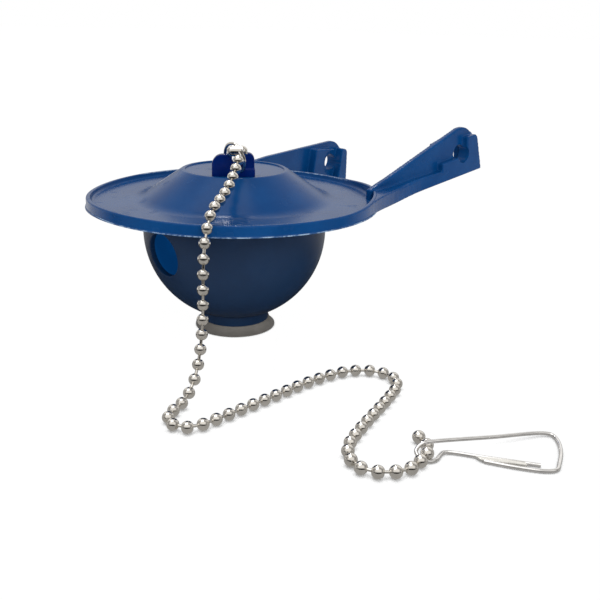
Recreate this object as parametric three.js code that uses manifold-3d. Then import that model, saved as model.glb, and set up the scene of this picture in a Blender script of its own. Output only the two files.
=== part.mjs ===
// A toilet flapper: a soft disc with a raised rim, a flat-topped cone and two pin arms, a hollow
// bulb under it that stands on a small flared ring, and a ball chain with a wire clip.
// Millimetres, +Z up. The origin is the bottom centre of the box round the flapper without its
// chain. +X points along the arms, towards the pins that the flapper turns on.
import * as THREE from 'three';
import { mergeVertices } from 'three/addons/utils/BufferGeometryUtils.js';
import Module from 'manifold-3d';

const wasm = await Module();
wasm.setup();
const radians = THREE.MathUtils.degToRad;

// Driving dimensions: the bulb and its foot
const bulbRadius = 28.7;
const bulbWall = 1.6;
const neckRadius = 10.8;
const neckBottom = 2.8;
const neckLength = 2.8; // straight, up to where the bulb's round starts
const bulbRebate = 0.6; // how far the bulb's mouth sits up in the disc
const sideHoleRadius = 6.7;
const sideHoleAngle = 180; // opposite the arms
const sideHoleDip = 8; // degrees below level
const spigotDepth = 2.8;
const spigotWall = 1.6;
const footRadius = 12.9;
const footEdge = 0.5;
const seatClearance = 0.35; // between a piece and the one that it seats in
const groundGap = 0.05; // what lies on the ground is drawn this far above it
const bulbCentreHeight = neckBottom + neckLength + Math.sqrt(bulbRadius ** 2 - neckRadius ** 2);

// Driving dimensions: the seat disc
const discRadius = 44.5; // the rim's outer wall
const discOverBulbCentre = 8.4;
const discUnderside = bulbCentreHeight + discOverBulbCentre; // the sealing face, above the foot
const bulbTop = discUnderside + bulbRebate;
const rimHeight = 3.3;
const rimTopWidth = 1.3;
const rimRound = 0.5;
const flashWidth = 0.35; // the thin mould line round the rim's lower edge
const flashHeight = 0.25;
const discThickness = 1.8;

// Driving dimensions: the cone and its flat top
const topRadius = 16.3;
const coneRise = 10.7; // from the sealing face to the cone's flat top
const topHeight = discUnderside + coneRise;
const topRecess = 0.4;
const topLipWidth = 0.8;
const coneFootRadius = 29.6;
const coneFillet = 2.4; // length of the fillet along the cone and along the disc
const coneWall = 2.2;

// Driving dimensions: the two arms, drawn level and straight, and then bent at their root
const armWebOuter = 30.2; // from the middle line to the web's outer face
const armWebThickness = 2.0;
const armRailWidth = 2.2; // how far rail, block and end rib stand out of the web
const armBossDepth = 3.4; // how far the pin boss stands in from the web
const armEnd = 85.5; // from the disc's axis to the arm's lower end corner
const armEndLean = 2.2; // the end face's upper edge lies this much further in
const armRibWidth = 7.6;
const armWebStart = 30.0;
const armWebStartHeight = discUnderside + 4.85;
const armRailStart = 31.0; // inside the rim
const armKneeReach = 34.0; // where the web's steep start meets its long top edge
const armKneeHeight = discUnderside + 6.2;
const earReach = 77.0;
const earHeight = discUnderside + 8.7;
const earRadius = 7.6;
const earStartAngle = 104; // the ear's round top, in degrees above level
const earEndAngle = 50;
const ribTop = discUnderside + 12.8;
const ribCorner = 1.0;
const ribLean = 0.4; // the rib's inner face, over its height
const pinReach = 75.4;
const pinHeight = discUnderside + 7.4;
const pinRadius = 3.0;
const blockStart = 64.6;
const blockTop = discUnderside + 5.3;
const bossStart = 63.0;
const bossTopDrop = 2.9; // the boss ends this far inside the ear's edge
const armRootFillet = 60; // seen from above, where the rim runs out into a rail
const armBendLength = 3.6;
const armRise = { near: 7.7, far: -10.0 }; // the soft arms are bent, one up and one down
const armSplay = { near: 1.7, far: 6.0 }; // and both a little outwards

// Driving dimensions: the lug, in a frame turned about the disc's axis
const lugTurn = -40;
const lugFront = -11.9;
const lugDepth = 2.6;
const lugLeft = -6.2;
const lugRight = 5.6;
const lugLeftTop = topHeight + 5.4;
const lugRightTop = topHeight + 6.2;
const lugCorner = 2.0;
const slotCorner = 0.5;
const slotLeft = -1.0;
const slotRight = 2.8;
const barRadius = 1.1;
const barHeight = topHeight + 3.1;

// Driving dimensions: the chain and its fittings
const ringRadius = 4.4;
const ringWire = 1.0;
const ringTurn = 38;
const ringLean = 14;
const ringCentre = [-0.05, topHeight + 4.85]; // across the lug, and above the foot
const couplingSheet = 0.45;
const couplingRadius = 1.75;
const couplingLength = 4.8;
const couplingGap = 100; // degrees of the sleeve's section that are open
const couplingLean = 35; // how far the opening looks below level
const couplingCentre = [1.0, -14.9, topHeight + 7.5];
const beadDiameter = 3.2;
const beadCount = 62;
const linkDiameter = 0.9;
const clipWire = 0.95;
const claspSheet = 0.35;

// An arm is level up to here, where all of it is outside the sealing face
const armRoot = Math.sqrt((discRadius + flashWidth) ** 2 - (armWebOuter - armWebThickness) ** 2);

// Bends a point of an arm that is drawn level: the root curves over armBendLength, and what lies
// beyond it is straight again. reach is measured from the disc's axis, height from the foot.
function bent(reach, height, rise) {
  const along = Math.max(reach - armRoot, 0);
  const angle = radians(rise) * Math.min(along / armBendLength, 1);
  const curve = Math.min(along, armBendLength);
  const turn = angle || 1e-9;
  const x = Math.min(reach, armRoot) + (curve * Math.sin(turn)) / turn;
  const z = discUnderside + (curve * (1 - Math.cos(turn))) / turn;
  const beyond = along - curve;
  const offset = height - discUnderside;
  return [
    x + beyond * Math.cos(angle) - offset * Math.sin(angle),
    z + beyond * Math.sin(angle) + offset * Math.cos(angle),
  ];
}

// The box round the flapper runs from the rim's mould line to the farther arm's end.
const armReach = Math.max(...Object.values(armRise).map((rise) => bent(armEnd, discUnderside, rise)[0]));
const axisX = (discRadius + flashWidth - armReach) / 2;

const materials = {
  blue: new THREE.MeshStandardMaterial({ color: 0x10457f, roughness: 0.42, metalness: 0 }),
  navy: new THREE.MeshStandardMaterial({ color: 0x1c3258, roughness: 0.6, metalness: 0 }),
  grey: new THREE.MeshStandardMaterial({ color: 0xa39c90, roughness: 0.7, metalness: 0 }),
  steel: new THREE.MeshStandardMaterial({ color: 0xc9c7c2, roughness: 0.25, metalness: 1 }),
};

// Turns what lies beyond an arm's root outwards, by moving each point sideways
function splayed(geometry, side, splay) {
  const position = geometry.getAttribute('position');
  const start = armRoot + armBendLength / 2;
  for (let i = 0; i < position.count; i += 1) {
    const beyond = Math.max(position.getX(i) - start, 0);
    position.setY(i, position.getY(i) + side * beyond * Math.tan(radians(splay)));
  }
  return geometry;
}

// A closed three.js geometry as a solid that can be joined and cut
function solid(geometry) {
  const bare = new THREE.BufferGeometry();
  bare.setAttribute('position', geometry.getAttribute('position').clone());
  if (geometry.index) bare.setIndex(geometry.index.clone());
  const merged = mergeVertices(bare, 1e-4);
  return new wasm.Manifold(
    new wasm.Mesh({
      numProp: 3,
      vertProperties: new Float32Array(merged.attributes.position.array),
      triVerts: new Uint32Array(merged.index.array),
    }),
  );
}

function joined(solids) {
  return solids.reduce((sum, next) => sum.add(next));
}

function namedMesh(name, made, material) {
  const { vertProperties, triVerts } = made.getMesh();
  const geometry = new THREE.BufferGeometry();
  geometry.setAttribute('position', new THREE.BufferAttribute(vertProperties, 3));
  geometry.setIndex(new THREE.BufferAttribute(triVerts, 1));
  geometry.computeVertexNormals();
  const mesh = new THREE.Mesh(geometry, material);
  mesh.name = name;
  return mesh;
}

// A turned solid from a profile of [radius, height] pairs
function turned(profile, segments) {
  const points = profile.map(([r, z]) => new THREE.Vector2(r, z));
  return new THREE.LatheGeometry(points, segments).rotateX(Math.PI / 2);
}

// Points on a circle's arc, from one angle to another, in degrees
function arc(centreX, centreY, radius, from, to, steps) {
  return Array.from({ length: steps + 1 }, (_, i) => {
    const a = radians(from + ((to - from) * i) / steps);
    return [centreX + radius * Math.cos(a), centreY + radius * Math.sin(a)];
  });
}

function outline(points) {
  return new THREE.Shape(points.map(([x, y]) => new THREE.Vector2(x, y)));
}

// Cuts the long edges of an outline into short ones, so that it can be bent
function subdivided(points, step) {
  return points.flatMap(([x, y], i) => {
    const [nextX, nextY] = points[(i + 1) % points.length];
    const count = Math.max(1, Math.ceil(Math.hypot(nextX - x, nextY - y) / step));
    return Array.from({ length: count }, (_, k) => [
      x + ((nextX - x) * k) / count,
      y + ((nextY - y) * k) / count,
    ]);
  });
}

// An upright slab: an outline of [x, z] pairs between two values of y
function slab(points, yLow, yHigh) {
  const plate = new THREE.ExtrudeGeometry(outline(points), { depth: yHigh - yLow, bevelEnabled: false });
  return plate.rotateX(Math.PI / 2).translate(0, yHigh, 0);
}

// A wire or rod along a curve, with a round section
function wire(curve, diameter, steps, sides) {
  const section = outline(arc(0, 0, diameter / 2, 0, 360 - 360 / sides, sides - 1));
  return new THREE.ExtrudeGeometry(section, { steps, extrudePath: curve, bevelEnabled: false });
}

function smoothCurve(points) {
  return new THREE.CatmullRomCurve3(points.map((p) => new THREE.Vector3(...p)), false, 'centripetal');
}

// The disc, its rim and the hollow cone, as one turned shell
function discSolid() {
  const webTop = discUnderside + discThickness;
  const rimTop = discUnderside + rimHeight;
  const rimInner = discRadius - rimTopWidth;
  const slope = Math.atan2(topHeight - webTop, coneFootRadius - topRadius);
  const filletStart = [
    coneFootRadius - coneFillet * Math.cos(slope),
    webTop + coneFillet * Math.sin(slope),
  ];
  const filletEnd = [coneFootRadius + coneFillet, webTop];
  const filletPoints = new THREE.QuadraticBezierCurve(
    new THREE.Vector2(...filletStart),
    new THREE.Vector2(coneFootRadius, webTop),
    new THREE.Vector2(...filletEnd),
  ).getPoints(4);
  const spigotOuter = Math.sqrt((bulbRadius - bulbWall) ** 2 - (bulbTop - bulbCentreHeight) ** 2)
    - seatClearance;
  const spigotInner = spigotOuter - spigotWall;
  const rebateOuter = bulbRadius + seatClearance; // so that the sealing face clears the whole bulb
  const innerCone = (r) => topHeight - coneWall / Math.cos(slope) - (r - topRadius) * Math.tan(slope);
  const ceiling = topHeight - topRecess - discThickness;
  const ceilingRadius = topRadius + (innerCone(topRadius) - ceiling) / Math.tan(slope);
  return solid(turned([
    [0, ceiling],
    [ceilingRadius, ceiling],
    [spigotInner, innerCone(spigotInner)],
    [spigotInner, discUnderside - spigotDepth],
    [spigotOuter, discUnderside - spigotDepth],
    [spigotOuter, bulbTop],
    [rebateOuter, bulbTop],
    [rebateOuter, discUnderside],
    [discRadius + flashWidth, discUnderside],
    [discRadius + flashWidth, discUnderside + flashHeight],
    [discRadius, discUnderside + 2 * flashHeight],
    ...arc(discRadius - rimRound, rimTop - rimRound, rimRound, 0, 90, 3),
    [rimInner + rimRound / 2, rimTop],
    [rimInner, rimTop - rimRound / 2],
    [rimInner - rimRound / 2, webTop],
    ...filletPoints.reverse().map((p) => [p.x, p.y]),
    [topRadius + topLipWidth / 2, topHeight - topLipWidth / 2 * Math.tan(slope)],
    [topRadius, topHeight],
    [topRadius - topLipWidth, topHeight],
    [topRadius - topLipWidth - topRecess / 2, topHeight - topRecess],
    [0, topHeight - topRecess],
  ], 60));
}

// One arm: a thin upright web that carries a rail, a block and an end rib on its outer face and
// the pin boss on its inner face, with the pin hole through it all.
function armSolid(side, rise, splay) {
  const webTopPoints = [
    [armWebStart, armWebStartHeight],
    [armKneeReach, armKneeHeight],
    ...arc(earReach, earHeight, earRadius, earStartAngle, earEndAngle, 5),
    [armEnd - armEndLean - ribCorner, ribTop],
    [armEnd - armEndLean, ribTop - ribCorner],
    [armEnd, discUnderside],
  ];
  const bottom = discUnderside;
  const web = [[armWebStart, bottom + flashHeight], ...webTopPoints, [armRoot, bottom]];
  const railTop = bottom + rimHeight;
  const rail = [[armRailStart, bottom], [armRailStart, railTop], [armEnd - armRibWidth, railTop],
    [armEnd - armRibWidth, bottom]];
  const block = [[blockStart, bottom], [blockStart, blockTop], [armEnd - armRibWidth, blockTop],
    [armEnd - armRibWidth, bottom]];
  const rib = [[armEnd - armRibWidth, bottom], [armEnd - armRibWidth - ribLean, ribTop],
    [armEnd - armEndLean - ribCorner, ribTop], [armEnd - armEndLean, ribTop - ribCorner], [armEnd, bottom]];
  const bossRadius = earRadius - bossTopDrop;
  const boss = [[bossStart, bottom], [bossStart, earHeight + bossRadius - 1],
    ...arc(earReach, earHeight, bossRadius, earStartAngle, earEndAngle, 4),
    [armEnd - armEndLean, earHeight], [armEnd, bottom]];
  const layer = (points, inner, outer) => {
    const shape = subdivided(points, 5).map(([x, z]) => bent(x, z, rise));
    const plate = side < 0 ? slab(shape, -outer, -inner) : slab(shape, inner, outer);
    return solid(splayed(plate, side, splay));
  };
  const webInner = armWebOuter - armWebThickness;
  const railOuter = armWebOuter + armRailWidth;
  const pinHole = arc(...bent(pinReach, pinHeight, rise), pinRadius, 0, 345, 23);
  const holeInner = webInner - armBossDepth - 1;
  const holeOuter = railOuter + 1;
  const layers = [
    layer(web, webInner, armWebOuter),
    layer(rail, webInner, railOuter),
    layer(block, webInner, railOuter),
    layer(rib, webInner, railOuter),
    layer(boss, webInner - armBossDepth, armWebOuter),
    solid(splayed(rootFillet(side, rise), side, splay)),
  ];
  const drill = side < 0 ? slab(pinHole, -holeOuter, -holeInner) : slab(pinHole, holeInner, holeOuter);
  return joined(layers).subtract(solid(splayed(drill, side, splay)));
}

// Where the rim runs out into the arm's rail: a fillet seen from above, as tall as the rim
function rootFillet(side, rise) {
  const railOuter = armWebOuter + armRailWidth;
  const centreX = Math.sqrt((discRadius + armRootFillet) ** 2 - (railOuter + armRootFillet) ** 2);
  const centreY = railOuter + armRootFillet;
  const start = THREE.MathUtils.radToDeg(Math.atan2(-centreY, -centreX));
  const underRim = discRadius - 2 * rimTopWidth;
  const points = [
    ...arc(centreX, centreY, armRootFillet, start, -90, 8),
    [centreX, armWebOuter],
    [centreX - 5, armWebOuter],
    [centreX - 10, armWebOuter],
    [underRim * Math.cos(radians(start + 180)), underRim * Math.sin(radians(start + 180))],
  ].map(([x, y]) => [x, side * y]);
  const ordered = side < 0 ? points : points.slice().reverse();
  const fillet = new THREE.ExtrudeGeometry(outline(ordered), { depth: rimHeight - rimRound / 2,
    bevelEnabled: false }).translate(0, 0, discUnderside);
  const position = fillet.getAttribute('position');
  for (let i = 0; i < position.count; i += 1) {
    const [x, z] = bent(position.getX(i), position.getZ(i), rise);
    position.setX(i, x);
    position.setZ(i, z);
  }
  return fillet;
}

// The lug on the cone's flat top: two cheeks with a slot between them and a bar across it
function lugSolid() {
  const bottom = topHeight - topRecess - 0.5;
  const back = lugFront + lugDepth;
  const left = [[lugLeft, bottom], ...arc(lugLeft + lugCorner, lugLeftTop - lugCorner, lugCorner, 180, 90, 4),
    [slotLeft - slotCorner, lugLeftTop], [slotLeft, lugLeftTop - slotCorner], [slotLeft, bottom]];
  const right = [[slotRight, bottom], [slotRight, lugRightTop - slotCorner],
    [slotRight + slotCorner, lugRightTop],
    ...arc(lugRight - lugCorner / 2, lugRightTop - lugCorner / 2, lugCorner / 2, 90, 0, 4),
    [lugRight, bottom]];
  const bar = new THREE.CylinderGeometry(barRadius, barRadius, slotRight - slotLeft + 1, 16)
    .rotateZ(Math.PI / 2)
    .translate((slotLeft + slotRight) / 2, lugFront + lugDepth / 2, barHeight);
  return joined([slab(left, lugFront, back), slab(right, lugFront, back), bar]
    .map((g) => solid(g.rotateZ(radians(lugTurn)))));
}

function flapperBody() {
  return joined([discSolid(), lugSolid(), armSolid(-1, armRise.near, armSplay.near),
    armSolid(1, armRise.far, armSplay.far)]);
}

// The hollow bulb, open at its mouth and at its neck, with a round hole in its side
function bulb() {
  const height = (radius, r) => bulbCentreHeight - Math.sqrt(radius ** 2 - r ** 2);
  const sphereAngle = (radius, z) => THREE.MathUtils.radToDeg(Math.asin((z - bulbCentreHeight) / radius));
  const innerRadius = bulbRadius - bulbWall;
  const neckInner = neckRadius - bulbWall;
  const outside = arc(0, bulbCentreHeight, bulbRadius,
    sphereAngle(bulbRadius, height(bulbRadius, neckRadius)), sphereAngle(bulbRadius, bulbTop), 9);
  const inside = arc(0, bulbCentreHeight, innerRadius,
    sphereAngle(innerRadius, bulbTop), sphereAngle(innerRadius, height(innerRadius, neckInner)), 7);
  const first = [neckRadius, neckBottom];
  const profile = [first, ...outside, ...inside, [neckInner, neckBottom], first];
  const drill = new THREE.CylinderGeometry(sideHoleRadius, sideHoleRadius, bulbRadius, 32)
    .rotateZ(Math.PI / 2)
    .translate(bulbRadius * 1.2, 0, 0)
    .rotateY(radians(sideHoleDip))
    .rotateZ(radians(sideHoleAngle))
    .translate(0, 0, bulbCentreHeight);
  return solid(turned(profile, 48)).subtract(solid(drill));
}

// The flared ring that the bulb's neck stands in
function footRing() {
  const inner = neckRadius - bulbWall;
  const flare = new THREE.QuadraticBezierCurve(
    new THREE.Vector2(footRadius, footEdge),
    new THREE.Vector2(neckRadius + seatClearance, neckBottom / 2),
    new THREE.Vector2(neckRadius + seatClearance, neckBottom),
  ).getPoints(4).map((p) => [p.x, p.y]);
  const first = [inner, 0];
  return solid(turned([first, [footRadius, 0], ...flare, [inner, neckBottom], first], 40));
}

// The wire ring through the lug, under the bar. With a clearance it is the room that the ring needs.
function ringSolid(clearance) {
  const torus = new THREE.TorusGeometry(ringRadius, ringWire / 2 + clearance, 6, 28)
    .rotateY(Math.PI / 2)
    .rotateZ(radians(ringTurn))
    .rotateY(radians(-ringLean))
    .translate(ringCentre[0], lugFront + lugDepth / 2, ringCentre[1])
    .rotateZ(radians(lugTurn));
  return solid(torus);
}

// The coupling: a short sleeve folded from sheet, open along its front for the first bead, and
// pierced where the ring goes through it
function chainCoupling() {
  const gap = couplingGap / 2;
  const section = [
    ...arc(0, 0, couplingRadius, gap, 360 - gap, 16),
    ...arc(0, 0, couplingRadius - couplingSheet, 360 - gap, gap, 16),
  ];
  const sleeve = new THREE.ExtrudeGeometry(outline(section), { depth: couplingLength, bevelEnabled: false })
    .translate(0, 0, -couplingLength / 2)
    .rotateZ(radians(couplingLean - 90))
    .rotateY(Math.PI / 2)
    .translate(...couplingCentre)
    .rotateZ(radians(lugTurn));
  return solid(sleeve).subtract(ringSolid(seatClearance));
}

// The chain's way, seen from the disc's axis: from the coupling over the rim, down to the ground
// and along it to the clip. Beads and links follow it.
const groundBead = beadDiameter / 2 + groundGap;
const chainRoute = [
  [-10.9, -14.5, topHeight + 6.1], [-15.4, -17.5, topHeight + 2.7], [-20.7, -21.3, topHeight - 0.4],
  [-26.7, -25.1, discUnderside + 8.2], [-29.7, -27.0, discUnderside + 7.2],
  [-32.6, -28.9, discUnderside + 5.6], [-35.3, -30.8, discUnderside + 2.9],
  [-37.2, -32.1, discUnderside - 0.8],
  [-38.8, -33.4, 32], [-39.4, -33.8, 22], [-40.4, -34.1, 14], [-42.7, -35.3, 7.8],
  [-45.1, -36.5, 4.6], [-48.4, -38.0, 2.3], [-52.0, -39.6, groundBead], [-55.6, -41.2, groundBead],
  [-58.2, -43.7, groundBead], [-58.9, -47.0, groundBead], [-57.3, -50.0, groundBead],
  [-54.0, -51.3, groundBead], [-48.0, -51.5, groundBead], [-32.7, -51.4, groundBead],
  [-16.0, -51.3, groundBead], [-6.1, -52.6, groundBead], [-1.8, -54.4, groundBead],
  [1.6, -57.4, groundBead], [3.2, -61.5, groundBead], [2.3, -66.0, groundBead],
  [-1.3, -69.3, groundBead], [-9.4, -72.7, groundBead], [-25.8, -78.4, groundBead],
  [-33.7, -81.7, groundBead], [-38.0, -85.2, groundBead], [-40.1, -90.0, groundBead],
  [-38.6, -94.4, groundBead], [-35.0, -97.4, groundBead], [-31.0, -98.5, groundBead],
  [-27.2, -97.8, groundBead], [-23.4, -96.6, groundBead], [-17.7, -90.7, groundBead],
];

// Beads at equal steps along the route, each joined to the next by a link wire
function ballChain() {
  const places = smoothCurve(chainRoute).getSpacedPoints(beadCount - 1);
  const up = new THREE.Vector3(0, 1, 0);
  return joined(places.map((place, i) => {
    const bead = solid(new THREE.SphereGeometry(beadDiameter / 2, 8, 4).translate(place.x, place.y, place.z));
    const next = places[i + 1];
    if (!next) return bead;
    const span = next.clone().sub(place);
    const link = new THREE.CylinderGeometry(linkDiameter / 2, linkDiameter / 2, span.length(), 4)
      .applyQuaternion(new THREE.Quaternion().setFromUnitVectors(up, span.clone().normalize()))
      .translate(...place.clone().add(next).multiplyScalar(0.5).toArray());
    return bead.add(solid(link));
  }));
}

// The clip is one bent wire: up one side of its nose, along its two legs, and round the chain
const clipLying = clipWire / 2 + 0.03;
const clipRoute = [
  [-15.4, -106.7, clipLying], [-11.9, -113.7, clipLying], [-8.6, -118.6, clipLying],
  [-6.3, -120.0, clipLying], [-3.3, -119.0, clipLying], [2.0, -116.5, clipLying],
  [6.2, -113.4, clipLying], [7.7, -111.2, 0.6], [6.9, -109.6, 0.8], [-6.8, -102.6, 1.9],
  [-19.8, -96.0, 2.95], [-22.1, -94.9, 3.0], [-23.8, -94.3, 2.5], [-25.2, -94.6, 1.7],
  [-25.7, -96.2, 0.9], [-24.9, -98.2, clipLying], [-23.2, -98.9, clipLying],
  [-21.0, -98.3, clipLying], [-19.0, -98.0, clipLying], [-17.4, -99.6, clipLying],
  [-15.2, -103.4, clipLying], [-7.2, -116.5, clipLying],
];

// The clasp: a flat folded sheet over the two wires of the lower leg
const claspCorners = [[-15.4, -104.0], [-9.2, -113.6], [-10.8, -115.5], [-16.4, -107.4]];

function clipSolid() {
  return solid(wire(smoothCurve(clipRoute), clipWire, 80, 6));
}

function clipClasp() {
  const sheet = new THREE.ExtrudeGeometry(outline(claspCorners), { depth: claspSheet, bevelEnabled: false });
  return solid(sheet.translate(0, 0, clipWire + seatClearance));
}

const group = new THREE.Group();
const pieces = [
  ['flapper_body', flapperBody, materials.blue],
  ['bulb', bulb, materials.navy],
  ['foot_ring', footRing, materials.grey],
  ['lug_ring', () => ringSolid(0), materials.steel],
  ['chain_coupling', chainCoupling, materials.steel],
  ['ball_chain', ballChain, materials.steel],
  ['clip_wire', clipSolid, materials.steel],
  ['clip_clasp', clipClasp, materials.steel],
];
for (const [name, make, material] of pieces) {
  const mesh = namedMesh(name, make(), material);
  mesh.position.x = axisX;
  group.add(mesh);
}

export default group;
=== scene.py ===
# %% [markdown]
# # Dressing a toilet flapper
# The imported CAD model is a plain, exact frame. This lesson keeps its places and sizes, and gives
# each piece the rounded edges, the mould marks and the finish of the real one. Everything is
# worked out in millimetres round the disc's axis and moved into the frame at the very end.

# %% Load the frame
import math
import bmesh
import bpy
from mathutils import Matrix, Vector


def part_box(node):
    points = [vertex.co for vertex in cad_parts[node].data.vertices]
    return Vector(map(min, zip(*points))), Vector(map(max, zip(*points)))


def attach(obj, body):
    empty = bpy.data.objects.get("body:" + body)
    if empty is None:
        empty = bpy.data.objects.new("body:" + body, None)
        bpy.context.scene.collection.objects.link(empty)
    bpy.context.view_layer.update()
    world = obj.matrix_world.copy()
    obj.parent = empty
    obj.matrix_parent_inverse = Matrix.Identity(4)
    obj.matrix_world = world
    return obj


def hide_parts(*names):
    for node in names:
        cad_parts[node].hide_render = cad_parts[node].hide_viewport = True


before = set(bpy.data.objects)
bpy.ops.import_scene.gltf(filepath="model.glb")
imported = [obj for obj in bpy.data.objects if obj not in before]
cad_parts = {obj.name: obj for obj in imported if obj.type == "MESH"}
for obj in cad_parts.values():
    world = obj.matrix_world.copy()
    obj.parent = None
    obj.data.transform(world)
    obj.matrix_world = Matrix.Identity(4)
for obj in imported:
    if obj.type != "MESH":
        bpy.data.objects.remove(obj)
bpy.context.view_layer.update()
MM = 0.001
foot_low, foot_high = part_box("foot_ring")
AXIS_X = (foot_low.x + foot_high.x) / 2 / MM
print("disc's axis at x =", round(AXIS_X, 3), "mm")

# %% [markdown]
# ## The camera
# The photograph was taken from a little above, about 250 mm away. A camera is easiest to place
# from three facts: where it is, which way it looks, and which way is up. The object stands turned
# by 40 degrees to that camera, so its view vectors are turned by the same angle.

# %% Camera
VIEW_TURN = math.radians(-40)
CAMERA_BACK = 250.0
CAMERA_HEIGHT = 95.0
PITCH, YAW, ROLL = 0.334, 0.085, 0.025
FOCAL_PIXELS = 804.6
IMAGE_PIXELS = 600
SENSOR = 36.0


def make_camera():
    turn = Matrix.Rotation(VIEW_TURN, 3, "Z")
    forward = Vector((math.sin(YAW) * math.cos(PITCH), math.cos(YAW) * math.cos(PITCH), -math.sin(PITCH)))
    right = Vector((math.cos(YAW), -math.sin(YAW), 0))
    up = right.cross(forward)
    right_rolled = right * math.cos(ROLL) + up * math.sin(ROLL)
    up_rolled = up * math.cos(ROLL) - right * math.sin(ROLL)
    axes = Matrix((turn @ right_rolled, turn @ up_rolled, turn @ -forward)).transposed()
    place = turn @ Vector((0, -CAMERA_BACK, CAMERA_HEIGHT)) + Vector((AXIS_X, 0, 0))
    camera = bpy.data.objects.new("camera", bpy.data.cameras.new("camera"))
    bpy.context.scene.collection.objects.link(camera)
    camera.matrix_world = Matrix.Translation(place * MM) @ axes.to_4x4()
    camera.data.sensor_width = SENSOR
    camera.data.lens = FOCAL_PIXELS / IMAGE_PIXELS * SENSOR
    camera.data.clip_start = 0.01
    bpy.context.scene.camera = camera
    return camera


camera = make_camera()
print("camera at", [round(v, 4) for v in camera.location], "lens", round(camera.data.lens, 2))

# %% [markdown]
# ## Helpers for shapes
# Every solid starts as a bmesh in millimetres. One function finishes it: it merges doubles, turns
# the faces outwards, marks the sharp edges, moves it into the frame and makes it ride on the one
# body that this part has.

# %% Shape helpers
def arc(centre_x, centre_y, radius, start, end, steps):
    angles = [math.radians(start + (end - start) * i / steps) for i in range(steps + 1)]
    return [(centre_x + radius * math.cos(a), centre_y + radius * math.sin(a)) for a in angles]


def spun(profile, steps):
    """A closed turned shape from (radius, height) pairs."""
    bm = bmesh.new()
    verts = [bm.verts.new((r, 0, z)) for r, z in profile]
    edges = [bm.edges.new(pair) for pair in zip(verts, verts[1:])]
    bmesh.ops.spin(bm, geom=verts + edges, cent=(0, 0, 0), axis=(0, 0, 1),
                   angle=2 * math.pi, steps=steps, use_merge=True)
    bmesh.ops.remove_doubles(bm, verts=bm.verts, dist=1e-4)
    return bm


def slab(bm, outline, y_low, y_high):
    """An upright plate added to a bmesh: (x, z) pairs, extruded along y."""
    verts = [bm.verts.new((x, y_low, z)) for x, z in outline]
    face = bm.faces.new(verts)
    made = bmesh.ops.extrude_face_region(bm, geom=[face])["geom"]
    moved = [g for g in made if isinstance(g, bmesh.types.BMVert)]
    bmesh.ops.translate(bm, verts=moved, vec=(0, y_high - y_low, 0))
    return bm


def sharpen(bm, degrees):
    limit = math.radians(degrees)
    for face in bm.faces:
        face.smooth = True
    for edge in bm.edges:
        edge.smooth = len(edge.link_faces) == 2 and edge.calc_face_angle(0) < limit


def into_frame(bm):
    bmesh.ops.translate(bm, verts=bm.verts, vec=(AXIS_X, 0, 0))
    bmesh.ops.scale(bm, verts=bm.verts, vec=(MM, MM, MM))


def finished(bm, name, material, sharp=40, merge=1e-4, turn_out=True):
    if merge:
        bmesh.ops.remove_doubles(bm, verts=bm.verts, dist=merge)
    if turn_out:
        bmesh.ops.recalc_face_normals(bm, faces=bm.faces)
    sharpen(bm, sharp)
    into_frame(bm)
    mesh = bpy.data.meshes.new(name)
    bm.to_mesh(mesh)
    bm.free()
    piece = bpy.data.objects.new(name, mesh)
    bpy.context.scene.collection.objects.link(piece)
    mesh.materials.append(material)
    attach(piece, "root")
    size = [round((b - a) / MM, 1) for a, b in zip(*corners(piece))]
    print(name, "measures", size, "mm, faces", len(mesh.polygons))
    return piece


def corners(piece):
    points = [piece.matrix_world @ Vector(c) for c in piece.bound_box]
    low = Vector([min(p[i] for p in points) for i in range(3)])
    high = Vector([max(p[i] for p in points) for i in range(3)])
    return low, high


# %% [markdown]
# Two more helpers hand a shape over to modifiers. A voxel remesh melts overlapping slabs into one
# skin with soft edges, which is what a rubber moulding looks like. An exact boolean then cuts a
# crisp hole. Both run on a hidden working object and give a bmesh back.

# %% Modifier helpers
def as_object(bm, name):
    mesh = bpy.data.meshes.new(name)
    bm.to_mesh(mesh)
    bm.free()
    work = bpy.data.objects.new(name, mesh)
    bpy.context.scene.collection.objects.link(work)
    return work


def back_to_bmesh(work):
    view = bpy.context.evaluated_depsgraph_get()
    mesh = bpy.data.meshes.new_from_object(work.evaluated_get(view))
    bm = bmesh.new()
    bm.from_mesh(mesh)
    for data in (mesh, work.data):
        if data.users == 0:
            bpy.data.meshes.remove(data)
    bpy.data.objects.remove(work)
    return bm


def melted(bm, voxel, rounds):
    """One skin round all the overlapping solids of a bmesh, smoothed a few times."""
    bmesh.ops.recalc_face_normals(bm, faces=bm.faces)
    work = as_object(bm, "melting")
    remesh = work.modifiers.new("skin", "REMESH")
    remesh.mode = "VOXEL"
    remesh.voxel_size = voxel
    made = back_to_bmesh(work)
    for _ in range(rounds):
        bmesh.ops.smooth_vert(made, verts=made.verts, factor=0.5, use_axis_x=True,
                              use_axis_y=True, use_axis_z=True)
    return made


def cut(bm, tool):
    """The first bmesh less the second."""
    bmesh.ops.recalc_face_normals(tool, faces=tool.faces)
    work = as_object(bm, "cut")
    cutter = as_object(tool, "cutter")
    boolean = work.modifiers.new("hole", "BOOLEAN")
    boolean.operation = "DIFFERENCE"
    boolean.solver = "EXACT"
    boolean.object = cutter
    made = back_to_bmesh(work)
    bpy.data.objects.remove(cutter)
    return made


def rod(centre, radius, length, axis, segments=48):
    """A cylinder as a bmesh, with its middle at centre and its length along axis."""
    bm = bmesh.new()
    bmesh.ops.create_cone(bm, cap_ends=True, segments=segments, radius1=radius, radius2=radius, depth=length)
    turn = Vector((0, 0, 1)).rotation_difference(Vector(axis)).to_matrix()
    bmesh.ops.rotate(bm, verts=bm.verts, cent=(0, 0, 0), matrix=turn)
    bmesh.ops.translate(bm, verts=bm.verts, vec=centre)
    return bm


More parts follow.
